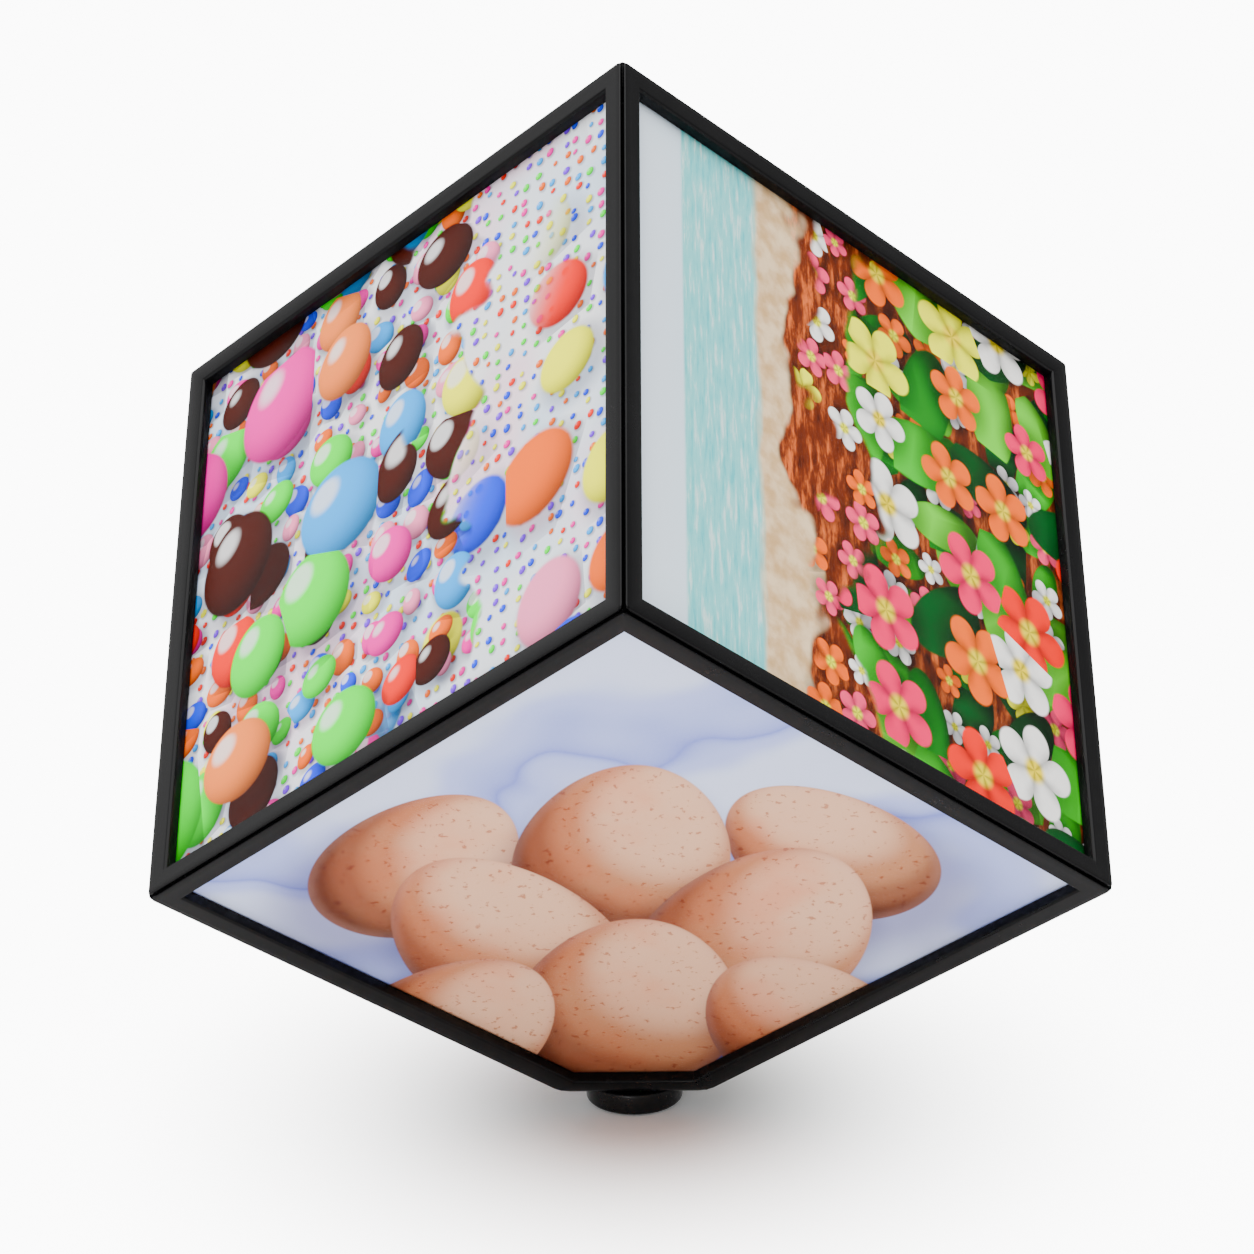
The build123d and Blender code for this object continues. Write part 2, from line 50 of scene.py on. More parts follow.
foot_low, foot_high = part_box("foot")
pad_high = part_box("foot_pad")[1]
foot_radius = foot_high.x
spindle_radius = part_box("spindle")[1].x
press_gap = 0.00002
micron = 0.000001
foot_rim_round = 0.0004
foot_rim_steps = 3
foot_turns = 96


def lathe(name, outline, steps):
    """Turn a closed outline of (radius, height) points about the upright axis into a piece."""
    bm = bmesh.new()
    rim = [bm.verts.new((radius, 0, height)) for radius, height in outline]
    edges = [bm.edges.new(pair) for pair in zip(rim, rim[1:] + rim[:1])]
    bmesh.ops.spin(
        bm, geom=rim + edges, axis=(0, 0, 1), cent=(0, 0, 0), angle=2 * math.pi, steps=steps, use_merge=True
    )
    bmesh.ops.remove_doubles(bm, verts=bm.verts, dist=micron)
    return bm


def finished(bm, name, body, smooth_angle=35):
    """Close the modelling of a piece: faces outwards, soft shading on its rounds, and its body."""
    bmesh.ops.recalc_face_normals(bm, faces=bm.faces)
    mesh = bpy.data.meshes.new(name)
    bm.to_mesh(mesh)
    bm.free()
    mesh.shade_smooth()
    mesh.set_sharp_from_angle(angle=math.radians(smooth_angle))
    piece = bpy.data.objects.new(name, mesh)
    bpy.context.scene.collection.objects.link(piece)
    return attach(piece, body)


def add(tree, kind, settings=None, **inputs):
    """Add a shader node, set it up, and feed its named inputs from values or other nodes."""
    node = tree.nodes.new("ShaderNode" + kind)
    for key, value in (settings or {}).items():
        setattr(node, key, value)
    for key, value in inputs.items():
        feed(tree, node.inputs[key.replace("_", " ")], value)
    return node


def feed(tree, socket, value):
    """Give a socket a plain value, or a link from another node."""
    if isinstance(value, bpy.types.NodeSocket):
        tree.links.new(value, socket)
    else:
        socket.default_value = value


def maths(tree, operation, *values, clamp=False):
    """One Math node on one to three values."""
    node = add(tree, "Math", {"operation": operation, "use_clamp": clamp})
    for socket, value in zip(node.inputs, values):
        feed(tree, socket, value)
    return node.outputs[0]


def ramp_between(tree, value, low, high, to_low=0.0, to_high=1.0):
    """A soft step that takes a value from low to high over to 0 and 1, or to other limits."""
    node = add(tree, "MapRange", {"interpolation_type": "SMOOTHSTEP"}, Value=value)
    for key, limit in (("From Min", low), ("From Max", high), ("To Min", to_low), ("To Max", to_high)):
        feed(tree, node.inputs[key], limit)
    return node.outputs[0]


def blend(tree, share, first, second, how="MIX"):
    """Mix two colours by a share."""
    node = add(tree, "Mix", {"data_type": "RGBA", "blend_type": how})
    for socket, value in ((node.inputs[0], share), (node.inputs[6], first), (node.inputs[7], second)):
        feed(tree, socket, value)
    return node.outputs[2]


def noise(tree, where, scale, detail=2.0, roughness=0.5):
    """Plain noise over a position, about 0 to 1."""
    node = add(tree, "TexNoise", None, Vector=where, Scale=scale, Detail=detail, Roughness=roughness)
    return node.outputs["Fac"]


def mean_of(tree, first, second):
    """The mean of two values."""
    return maths(tree, "MULTIPLY", maths(tree, "ADD", first, second), 0.5)


def spread_over(tree, value, low, high):
    """Take a value from 0 to 1 over to the range from low to high."""
    return maths(tree, "MULTIPLY_ADD", value, high - low, low)


def ink(red, green, blue):
    """A colour given as 0 to 255 on screen, as the linear colour that a shader takes."""
    parts = [value / 255 for value in (red, green, blue)]
    return [part / 12.92 if part < 0.04 else ((part + 0.055) / 1.055) ** 2.4 for part in parts] + [1.0]


def new_effect(name, inputs, outputs):
    """Start a node group with named inputs and outputs."""
    effect = bpy.data.node_groups.new(name, "ShaderNodeTree")
    for socket, kind, value in inputs:
        made = effect.interface.new_socket(name=socket, in_out="INPUT", socket_type="NodeSocket" + kind)
        if value is not None:
            made.default_value = value
    for socket, kind in outputs:
        effect.interface.new_socket(name=socket, in_out="OUTPUT", socket_type="NodeSocket" + kind)
    return effect, effect.nodes.new("NodeGroupInput").outputs, effect.nodes.new("NodeGroupOutput").inputs


def place_effect(tree, effect, **inputs):
    """Use a node group in a material, fed by name."""
    node = add(tree, "Group", {"node_tree": effect})
    for key, value in inputs.items():
        feed(tree, node.inputs[key.replace("_", " ")], value)
    return node.outputs


def new_finish(name, **sockets):
    """Start a material: its tree, its Principled BSDF with constant sockets, and Object coordinates."""
    material = bpy.data.materials.new(name)
    material.use_nodes = True
    tree = material.node_tree
    shader = tree.nodes["Principled BSDF"]
    for key, value in sockets.items():
        shader.inputs[key.replace("_", " ")].default_value = value
    return material, tree, shader, add(tree, "TexCoord").outputs["Object"]


def raise_surface(tree, shader, height, depth):
    """Give a finish its relief, as deep as said in metres."""
    bump = add(tree, "Bump", None, Height=height, Distance=depth, Strength=1.0)
    tree.links.new(bump.outputs["Normal"], shader.inputs["Normal"])


# Fine moulding grain with the slow waves where a wall sinks as it cools, as every moulded piece has them:
# a value for its tone and gloss, and a height.
smudge_fineness = 5.0
sink_height = 4.0
moulding, given, gives = new_effect(
    "moulded_skin",
    [("Position", "Vector", None), ("Grain", "Float", 5000.0), ("Sink", "Float", 60.0)],
    [("Tone", "Float"), ("Height", "Float")],
)
grain = noise(moulding, given["Position"], given["Grain"], detail=3.0, roughness=0.6)
sink = noise(moulding, given["Position"], given["Sink"], detail=1.0)
smudge_scale = maths(moulding, "MULTIPLY", given["Sink"], smudge_fineness)
smudge = noise(moulding, given["Position"], smudge_scale, detail=4.0, roughness=0.7)
tone = ramp_between(moulding, mean_of(moulding, sink, smudge), low=0.3, high=0.7)
feed(moulding, gives["Tone"], tone)
feed(moulding, gives["Height"], maths(moulding, "MULTIPLY_ADD", sink, sink_height, grain))


def moulded_finish(name, tones, rough, grain, relief, **sockets):
    """A moulded plastic between two tones and two roughnesses, with its grain in relief."""
    material, tree, shader, position = new_finish(name, **sockets)
    skin = place_effect(tree, moulding, Position=position, Grain=grain)
    feed(tree, shader.inputs["Base Color"], blend(tree, skin["Tone"], *tones))
    feed(tree, shader.inputs["Roughness"], spread_over(tree, skin["Tone"], *rough))
    raise_surface(tree, shader, skin["Height"], relief)
    return material


foot_black = moulded_finish(
    "foot_black",
    tones=(ink(5, 5, 6), ink(10, 10, 11)),
    rough=(0.22, 0.3),
    grain=7000.0,
    relief=3 * micron,
    Specular_IOR_Level=0.2,
)

foot_outline = [
    (spindle_radius + press_gap, pad_high.z),
    (spindle_radius + press_gap, foot_high.z),
    (foot_radius, foot_high.z),
    (foot_radius, foot_low.z),
    (pad_high.x + press_gap, foot_low.z),
    (pad_high.x + press_gap, pad_high.z),
]
foot_mesh = lathe("foot_disc", foot_outline, foot_turns)
rims = [
    edge
    for edge in foot_mesh.edges
    if all(abs(math.hypot(v.co.x, v.co.y) - foot_radius) < press_gap for v in edge.verts)
    and abs(edge.verts[0].co.z - edge.verts[1].co.z) < press_gap
]
bmesh.ops.bevel(
    foot_mesh,
    geom=rims,
    offset=foot_rim_round,
    segments=foot_rim_steps,
    profile=0.5,
    affect="EDGES",
    material=-1,
)
foot_disc = finished(foot_mesh, "foot_disc", "foot")
foot_disc.data.materials.append(foot_black)
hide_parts("foot")


# Pad, washer and gears
# A die-cut rubber disc pressed in the foot's dish keeps the foot from sliding on a shelf. The washer is
# stamped from natural acetal sheet and carries the cube's weight, and the gears are moulded in acetal.


def dress(finish, *nodes):
    """Give CAD nodes a finish in place of their own."""
    for node in nodes:
        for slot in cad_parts[node].material_slots:
            slot.link = "DATA"
            slot.material = finish


rubber = moulded_finish(
    "rubber",
    tones=(ink(26, 26, 26), ink(38, 37, 36)),
    rough=(0.75, 0.9),
    grain=2500.0,
    relief=20 * micron,
)
dress(rubber, "foot_pad")
acetal = moulded_finish(
    "natural_acetal",
    tones=(ink(222, 220, 208), ink(240, 238, 230)),
    rough=(0.3, 0.45),
    grain=3000.0,
    relief=5 * micron,
    Subsurface_Weight=0.3,
    Subsurface_Scale=1000 * micron,
)
dress(acetal, "thrust_washer", "fixed_gear", "gear_1", "gear_2", "gear_3")


# Steel and brass pieces
# Ground steel pins with fine rings from the lathe, a stamped clip that snaps in the spindle's groove, and
# the motor's drawn can. Contacts and switch housing are sheet steel, and bush, pinion and terminals brass.

ring_stretch = 60.0
ring_relief = 4 * micron


def metal_finish(name, tones, rough):
    """Turned or drawn metal: rings along the upright axis that vary its tone and gloss."""
    material, tree, shader, position = new_finish(name, Metallic=1.0)
    stretched = add(tree, "Mapping", None, Vector=position, Scale=(1.0, 1.0, ring_stretch)).outputs[0]
    rings = noise(tree, stretched, scale=40.0, detail=3.0, roughness=0.6)
    cloud = noise(tree, position, scale=300.0, detail=4.0, roughness=0.6)
    tone = ramp_between(tree, mean_of(tree, rings, cloud), low=0.35, high=0.65)
    feed(tree, shader.inputs["Base Color"], blend(tree, tone, *tones))
    feed(tree, shader.inputs["Roughness"], spread_over(tree, tone, *rough))
    raise_surface(tree, shader, rings, ring_relief)
    return material


steel = metal_finish("ground_steel", tones=(ink(150, 152, 156), ink(196, 198, 200)), rough=(0.22, 0.38))
dress(steel, "spindle", "spindle_clip", "gear_arbor", "motor_shaft", "motor_can")
dress(steel, "positive_contact", "negative_contact", "switch_housing")
brass = metal_finish("turned_brass", tones=(ink(176, 140, 70), ink(214, 180, 106)), rough=(0.2, 0.36))
dress(brass, "hub_bush", "motor_pinion", "motor_terminals")


# Core, gearbox and battery holder
# Matt black ABS mouldings. The core's two shells carry the trays on their legs. The gearbox's lower plate
# is staked on the core's bosses, and its upper plate on the lower one's posts. The holder drops in the
# window of the lower right wall, and the motor's cap is moulded in natural nylon.

core_black = moulded_finish(
    "core_black",
    tones=(ink(24, 24, 25), ink(36, 36, 37)),
    rough=(0.5, 0.66),
    grain=3500.0,
    relief=10 * micron,
)
dress(core_black, "core_upper", "core_lower", "gearbox_lower_plate", "gearbox_upper_plate")
dress(core_black, "battery_holder", "switch_slider")
cap_nylon = moulded_finish(
    "cap_nylon",
    tones=(ink(228, 226, 218), ink(243, 241, 236)),
    rough=(0.4, 0.5),
    grain=3000.0,
    relief=5 * micron,
)
dress(cap_nylon, "motor_cap")


# Battery cell
# One AA cell in a printed shrink jacket, bare at both ends. The jacket is charcoal with a copper band
# round the positive end, and carries no maker's print.

cell_low, cell_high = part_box("battery_cell")
cell_middle = (cell_low + cell_high) / 2
bay_turn = math.radians(120)
band_start = 0.0112
band_blur = 0.0002
jacket_half = 0.02485
wrinkle_relief = 20 * micron
charcoal = ink(34, 36, 40)
copper = ink(168, 104, 62)
scuffed = ink(90, 84, 80)
bare_steel = ink(186, 188, 190)
material, tree, shader, position = new_finish("cell_jacket", Specular_IOR_Level=0.6)
along_cell = add(
    tree,
    "Mapping",
    {"vector_type": "TEXTURE"},
    Vector=position,
    Location=cell_middle,
    Rotation=(0, 0, bay_turn),
)
along = add(tree, "SeparateXYZ", None, Vector=along_cell.outputs[0]).outputs["X"]
band = ramp_between(tree, along, band_start, band_start + band_blur)
metal_end = maths(tree, "GREATER_THAN", maths(tree, "ABSOLUTE", along), jacket_half)
wrinkles = noise(tree, position, scale=260.0, detail=2.0)
jacket = blend(tree, band, charcoal, copper)
jacket = blend(tree, maths(tree, "MULTIPLY", wrinkles, 0.12), jacket, scuffed)
band_metal = maths(tree, "MULTIPLY", band, 0.7)
feed(tree, shader.inputs["Base Color"], blend(tree, metal_end, jacket, bare_steel))
feed(tree, shader.inputs["Metallic"], maths(tree, "MAXIMUM", metal_end, band_metal))
feed(tree, shader.inputs["Roughness"], spread_over(tree, wrinkles, 0.2, 0.35))
raise_surface(tree, shader, wrinkles, wrinkle_relief)
dress(material, "battery_cell")


# Picture frames
# Each face of the cube is an injection-moulded frame of black ABS with mitred sides. Its outer edges and
# corners are rounded, its bars fall slightly towards the picture, and the cover sheet sits behind a lip.

cube_edge = 0.1075
corner_cut = 0.01075
picture_opening = 0.0994
cut_bar_width = 0.0028
bar_fall = 0.00025
bar_fall_width = 0.0024
cut_fall_width = 0.0016
picture_recess = 0.0022
pocket_play = 0.0004
frame_depth = 0.00275
frame_seam = 0.0003
corner_round = 0.00087
corner_steps = 6
edge_round = 0.0008
edge_steps = 4
lip_round = 0.00045
lip_steps = 3
lip_reach = 0.00025
flat_facing = 0.9
cube_half = cube_edge / 2
seam_inset = frame_seam / math.sqrt(2)
opening_half = picture_opening / 2
corner_sum = cube_edge - corner_cut * math.sqrt(3)
opening_sum = corner_sum - cut_bar_width * math.sqrt(2)
cube_middle = Vector((0, 0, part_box("core_lower")[0].z - corner_cut + cube_half * math.sqrt(3)))
face_tilt = math.atan(1 / math.sqrt(2))
upper, lower = 1, -1
trays = {
    "upper_left": (-60, upper),
    "upper_right": (60, upper),
    "upper_back": (180, upper),
    "lower_front": (0, lower),
    "lower_right": (120, lower),
    "lower_left": (-120, lower),
}
frame_black = moulded_finish(
    "frame_black",
    tones=(ink(6, 6, 7), ink(11, 11, 12)),
    rough=(0.2, 0.28),
    grain=6000.0,
    relief=3 * micron,
    Specular_IOR_Level=0.1,
)


def heading(azimuth, elevation):
    """Unit direction at an azimuth from the front towards the right, and an elevation, both in radians."""
    level = math.cos(elevation)
    return Vector((math.sin(azimuth) * level, -math.cos(azimuth) * level, math.sin(elevation)))


def face_place(azimuth, side):
    """The place of a cube face: x and y along its edges towards the pole, z outwards."""
    turn = math.radians(azimuth)
    outward = heading(turn, side * face_tilt)
    along = heading(turn + side * math.radians(120), side * face_tilt)
    place = Matrix((along, outward.cross(along), outward)).transposed().to_4x4()
    place.translation = cube_middle + outward * cube_half
    return place


def outline_corners(side, depth, half, line_sum):
    """Corners of a frame's outline at a depth: square, on the lower faces with its pole corner cut off."""
    corners = [(-half, -half), (half, -half)]
    if side == upper:
        corners += [(half, half)]
    else:
        corners += [(half, line_sum - half), (line_sum - half, half)]
    corners += [(-half, half)]
    return [Vector((x, y, -depth)) for x, y in corners]


def level_with(edge, depth):
    """Whether an edge of a frame lies at one depth behind the cube's face."""
    return all(abs(v.co.z + depth) < press_gap / 2 for v in edge.verts)


# The bars' section as stations round it, each with its depth, its half width and its cut corner's line.
outer_half = cube_half - seam_inset
pocket_half = opening_half + pocket_play
pocket_sum = opening_sum + pocket_play * math.sqrt(2)
crest_half = opening_half + bar_fall_width
crest_sum = opening_sum + cut_fall_width * math.sqrt(2)
lip_half = opening_half - lip_reach
lip_sum = opening_sum - lip_reach * math.sqrt(2)
section = [
    (0, outer_half, corner_sum),
    (frame_depth, outer_half - frame_depth, corner_sum + frame_depth),
    (frame_depth, pocket_half, pocket_sum),
    (picture_recess, pocket_half, pocket_sum),
    (picture_recess, lip_half, lip_sum),
    (bar_fall, lip_half, lip_sum),
    (0, crest_half, crest_sum),
]

for tray_name, (azimuth, side) in trays.items():
    bm = bmesh.new()
    outlines = [outline_corners(side, *station) for station in section]
    points = [bm.verts.new(corner) for corner in outlines[0]]
    loop = [bm.edges.new(pair) for pair in zip(points, points[1:] + points[:1])]
    for here, there in zip(outlines, outlines[1:] + outlines[:1]):
        grown = bmesh.ops.extrude_edge_only(bm, edges=loop)["geom"]
        fresh = [part for part in grown if isinstance(part, bmesh.types.BMVert)]
        loop = [part for part in grown if isinstance(part, bmesh.types.BMEdge)]
        for vertex in fresh:
            nearest = min(range(len(here)), key=lambda corner: (here[corner] - vertex.co).length)
            vertex.co = there[nearest]
    bmesh.ops.remove_doubles(bm, verts=bm.verts, dist=press_gap / 4)
    bmesh.ops.recalc_face_normals(bm, faces=bm.faces)
    outer_corners = [
        e
        for e in bm.edges
        if abs(e.verts[0].co.z + e.verts[1].co.z + frame_depth) < press_gap
        and min(abs(v.co.z) for v in e.verts) < press_gap
    ]
    bmesh.ops.bevel(
        bm,
        geom=outer_corners,
        offset=corner_round,
        segments=corner_steps,
        profile=0.5,
        affect="EDGES",
        material=-1,
    )
    lip = [
        e
        for e in bm.edges
        if level_with(e, bar_fall)
        and all(max(abs(v.co.x), abs(v.co.y)) < opening_half + press_gap for v in e.verts)
    ]
    bmesh.ops.bevel(
        bm, geom=lip, offset=lip_round, segments=lip_steps, profile=0.5, affect="EDGES", material=-1
    )
    rim = [
        e
        for e in bm.edges
        if level_with(e, 0)
        and any(abs(f.normal.z) < flat_facing for f in e.link_faces)
        and all(max(abs(v.co.x), abs(v.co.y)) > crest_half + press_gap for v in e.verts)
    ]
    bmesh.ops.bevel(
        bm, geom=rim, offset=edge_round, segments=edge_steps, profile=0.5, affect="EDGES", material=-1
    )
    bm.transform(face_place(azimuth, side))
    bars = finished(bm, tray_name + "_bars", tray_name + "_tray", 30)
    bars.data.materials.append(frame_black)
    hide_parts(tray_name + "_frame")


# Back plates
# Flat black polystyrene plates, one behind each print, satin on both sides. Their split legs snap in the
# core's holes and hold the tray on the cube.

plate_black = moulded_finish(
    "plate_black",
    tones=(ink(22, 22, 23), ink(34, 34, 35)),
    rough=(0.42, 0.55),
    grain=4000.0,
    relief=8 * micron,
)
for tray_name in trays:
    dress(plate_black, tray_name + "_back")


# Cover sheets
# Clear PETG cut to the picture's size, held between the frame's lip and the print. It takes only a little
# of the light, in a thin dark haze: a light one would leave a dotted grain on the dark parts of a print.

cover_thickness = 0.0003
print_gap = 0.00004
sheet_half = opening_half + frame_seam
sheet_sum = opening_sum + frame_seam * math.sqrt(2)
clear_cover, tree, shader, position = new_finish("clear_cover", IOR=1.45)
haze = noise(tree, position, scale=70.0, detail=3.0)
feed(tree, shader.inputs["Base Color"], blend(tree, haze, ink(38, 40, 42), ink(54, 56, 58)))
feed(tree, shader.inputs["Roughness"], spread_over(tree, haze, 0.16, 0.26))
feed(tree, shader.inputs["Alpha"], spread_over(tree, haze, 0.012, 0.022))
for tray_name, (azimuth, side) in trays.items():
    bm = bmesh.new()
    corners = outline_corners(side, picture_recess + press_gap, sheet_half, sheet_sum)
    front = bm.faces.new([bm.verts.new(corner) for corner in corners])
    grown = bmesh.ops.extrude_face_region(bm, geom=[front])["geom"]
    rear_points = [part for part in grown if isinstance(part, bmesh.types.BMVert)]
    bmesh.ops.translate(bm, verts=rear_points, vec=(0, 0, print_gap + press_gap - cover_thickness))
    bm.transform(face_place(azimuth, side))
    cover_sheet = finished(bm, tray_name + "_clear_sheet", tray_name + "_tray")
    cover_sheet.data.materials.append(clear_cover)
    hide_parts(tray_name + "_cover")


# Prints
# Satin photo prints, 10 cm square, on coated paper. The pictures are made up from plain patterns: sweets on
# a white table, flowers by the sea, brown eggs on a lavender cloth, hills at dusk, pebbles and a meadow.

in_plane = (1.0, 1.0, 0.0)
paper_shine = 0.08
paper_grain = 4000.0
dye_strength = 1.6
dye_depth = 1.3


def vectors(tree, operation, *values):
    """One Vector Math node on one to three vectors."""
    node = add(tree, "VectorMath", {"operation": operation})
    for socket, value in zip(node.inputs, values):
        feed(tree, socket, value)
    return node.outputs["Value" if operation == "LENGTH" else "Vector"]


def parts_of(tree, vector):
    """The x and y of a vector."""
    split = add(tree, "SeparateXYZ", None, Vector=vector)
    return split.outputs["X"], split.outputs["Y"]


def picture_view(tree, position, tray_name, turn):
    """Where a point of a print lies in its picture: x to the right and y up, from -1 to 1."""
    place = face_place(*trays[tray_name]) @ Matrix.Rotation(math.radians(turn), 4, "Z")
    view = add(
        tree,
        "Mapping",
        {"vector_type": "TEXTURE"},
        Vector=position,
        Location=place.translation,
        Rotation=place.to_euler(),
        Scale=(sheet_half, sheet_half, sheet_half),
    )
    return vectors(tree, "MULTIPLY", view.outputs[0], in_plane)


def print_finish(tray_name, turn=0):
    """Start a print's finish: satin coated paper, and the view that its picture is drawn in."""
    material, tree, shader, position = new_finish(tray_name + "_picture", Specular_IOR_Level=paper_shine)
    coat = noise(tree, position, paper_grain)
    feed(tree, shader.inputs["Roughness"], spread_over(tree, coat, 0.42, 0.46))
    return material, tree, shader, picture_view(tree, position, tray_name, turn)


def finish_print(material, tree, shader, picture, tray_name):
    """Lay the drawn picture on its paper, and dress the print with it."""
    feed(tree, shader.inputs["Base Color"], picture)
    dress(material, tray_name + "_print")


def dye(red, green, blue):
    """A print's colour, made stronger and a little deeper, because inks stay vivid in soft light."""
    grey = (red + green + blue) / 3
    strong = [min(255.0, max(0.0, grey + (part - grey) * dye_strength)) for part in (red, green, blue)]
    return [part ** dye_depth for part in ink(*strong)[:3]] + [1.0]


def palette(tree, value, *colours):
    """One of several colours in even steps of a value from 0 to 1."""
    node = add(tree, "ValToRGB", None, Fac=value)
    ramp = node.color_ramp
    ramp.interpolation = "CONSTANT"
    while len(ramp.elements) < len(colours):
        ramp.elements.new(1.0)
    for index, colour in enumerate(colours):
        ramp.elements[index].position = index / len(colours)
        ramp.elements[index].color = colour
    return node.outputs["Color"]


def gradient(tree, value, *stops):
    """A smooth run of colours, each given with its place from 0 to 1."""
    node = add(tree, "ValToRGB", None, Fac=value)
    ramp = node.color_ramp
    ramp.interpolation = "EASE"
    while len(ramp.elements) < len(stops):
        ramp.elements.new(1.0)
    for element, (place, colour) in zip(ramp.elements, stops):
        element.position = place
        element.color = colour
    return node.outputs["Color"]


def waver(tree, where, scale, detail, reach):
    """Noise that swings about zero, up to a reach to both sides."""
    return maths(tree, "MULTIPLY_ADD", noise(tree, where, scale, detail), 2 * reach, -reach)


def distance_out(tree, x, y):
    """How far a point lies from the middle of a thing, as a share of its radius."""
    return maths(tree, "SQRT", maths(tree, "MULTIPLY_ADD", x, x, maths(tree, "MULTIPLY", y, y)))


def dome(tree, out):
    """How high a round thing stands at a distance from its middle, both as shares of its radius."""
    return maths(tree, "SQRT", maths(tree, "SUBTRACT", 1.0, maths(tree, "MULTIPLY", out, out), clamp=True))


def facing_light(tree, lean_x, lean_y, rise, sideways):
    """How far a round thing turns to the light from above and in front, and a little from one side."""
    upwards = maths(tree, "MULTIPLY_ADD", lean_y, 0.5, maths(tree, "MULTIPLY", rise, 0.75))
    return maths(tree, "MULTIPLY_ADD", lean_x, sideways, upwards)


def scatter(effect, given):
    """Cut a picture in cells for one thing each: the way from its middle, and three random values."""
    scaled = add(effect, "VectorMath", {"operation": "SCALE"}, Vector=given["View"], Scale=given["Scale"])
    shifted = vectors(effect, "ADD", scaled.outputs[0], given["Seed"])
    cells = add(
        effect, "TexVoronoi", {"voronoi_dimensions": "2D"}, Vector=shifted, Scale=1.0, Randomness=0.55
    )
    from_middle = vectors(effect, "SUBTRACT", shifted, cells.outputs["Position"])
    random = add(effect, "SeparateColor", None, Color=cells.outputs["Color"])
    return vectors(effect, "MULTIPLY", from_middle, in_plane), random.outputs


def lay_over(tree, under, layer, things, shade, region=None):
    """Lay drawn things over a picture with the shadows that they cast, all over it or in one region."""
    mask = layer["Mask"]
    shadow = layer["Shadow"]
    if region is not None:
        mask = maths(tree, "MULTIPLY", mask, region)
        shadow = maths(tree, "MULTIPLY", shadow, region)
    dimmed = blend(tree, shadow, under, blend(tree, 1.0, under, shade, "MULTIPLY"))
    return blend(tree, mask, dimmed, things)


# Round things strewn over the picture, one to a cell: sweets, leaves or pebbles, each turned its own way
round_light = -0.38
round_smallest = 0.6
round_largest = 1.05
strewn, given, gives = new_effect(
    "strewn_rounds",
    [
        ("View", "Vector", None),
        ("Scale", "Float", 4.0),
        ("Radius", "Float", 0.4),
        ("Length", "Float", 1.0),
        ("Seed", "Float", 0.0),
        ("Softness", "Float", 0.06),
    ],
    [("Mask", "Float"), ("Shade", "Float"), ("Glint", "Float"), ("Pick", "Float"), ("Shadow", "Float")],
)
from_middle, random = scatter(strewn, given)
turned = add(strewn, "VectorRotate", {"rotation_type": "Z_AXIS"}, Vector=from_middle)
feed(strewn, turned.inputs["Angle"], maths(strewn, "MULTIPLY", random["Green"], 2 * math.pi))
own_size = spread_over(strewn, random["Blue"], round_smallest, round_largest)
size = maths(strewn, "MULTIPLY", given["Radius"], own_size)
along, across = parts_of(strewn, turned.outputs[0])
long_share = maths(strewn, "DIVIDE", along, maths(strewn, "MULTIPLY", size, given["Length"]))
out = distance_out(strewn, long_share, maths(strewn, "DIVIDE", across, size))
x, y = parts_of(strewn, from_middle)
lean_x = maths(strewn, "DIVIDE", x, size)
lean_y = maths(strewn, "DIVIDE", y, size)
light = facing_light(strewn, lean_x, lean_y, dome(strewn, out), round_light)
shadow_side = maths(strewn, "MULTIPLY_ADD", lean_x, -0.2, maths(strewn, "MULTIPLY", lean_y, 0.25))
shadow_out = maths(strewn, "ADD", out, shadow_side)
soft_edge = maths(strewn, "SUBTRACT", 1.0, given["Softness"])
feed(strewn, gives["Mask"], ramp_between(strewn, out, soft_edge, 1.0, to_low=1.0, to_high=0.0))
feed(strewn, gives["Shade"], ramp_between(strewn, light, -0.5, 0.95, to_low=0.22, to_high=1.15))
feed(strewn, gives["Glint"], ramp_between(strewn, light, 0.9, 0.985))
feed(strewn, gives["Pick"], random["Red"])
feed(strewn, gives["Shadow"], ramp_between(strewn, shadow_out, 0.8, 1.4, to_low=0.55, to_high=0.0))


def strew(tree, view, under, colours, glint, region=None, **sizes):
    """Lay one layer of round things over a picture, each with a glint of the light."""
    layer = place_effect(tree, strewn, View=view, **sizes)
    tint = palette(tree, layer["Pick"], *colours)
    shaded = blend(tree, 1.0, tint, layer["Shade"], "MULTIPLY")
    lit = blend(tree, maths(tree, "MULTIPLY", layer["Glint"], glint), shaded, ink(255, 255, 255))
    return lay_over(tree, under, layer, lit, ink(120, 118, 135), region)


green, pink, sky_blue = dye(66, 205, 58), dye(226, 62, 172), dye(84, 178, 240)
red, yellow, blue = dye(240, 74, 44), dye(250, 226, 52), dye(36, 96, 206)
cocoa, caramel, violet = dye(74, 38, 26), dye(226, 158, 112), dye(150, 92, 214)
white, blush, orange = dye(250, 249, 247), dye(250, 178, 200), dye(252, 136, 60)

# Sweets: big boiled ones and beans at the left, paper rounds and sugar pearls thinning out to the right
sweet_glint = 0.7
pearls = {"Scale": 17.0, "Radius": 0.26, "Length": 1.1, "Seed": 3.3}
paper_rounds = {"Scale": 2.7, "Radius": 0.43, "Length": 1.1, "Seed": 44.4, "Softness": 0.12}
beans = {"Scale": 6.5, "Radius": 0.4, "Length": 1.2, "Seed": 11.7}
drops = {"Scale": 3.6, "Radius": 0.43, "Length": 1.15, "Seed": 21.3}
boiled_ones = {"Scale": 2.3, "Radius": 0.45, "Length": 1.12, "Seed": 4.9}
material, tree, shader, view = print_finish("upper_left")
x, y = parts_of(tree, view)
pink_view = vectors(tree, "ADD", view, (7.0, 3.0, 0.0))
blue_cast = ramp_between(tree, noise(tree, view, scale=1.1), 0.42, 0.62)
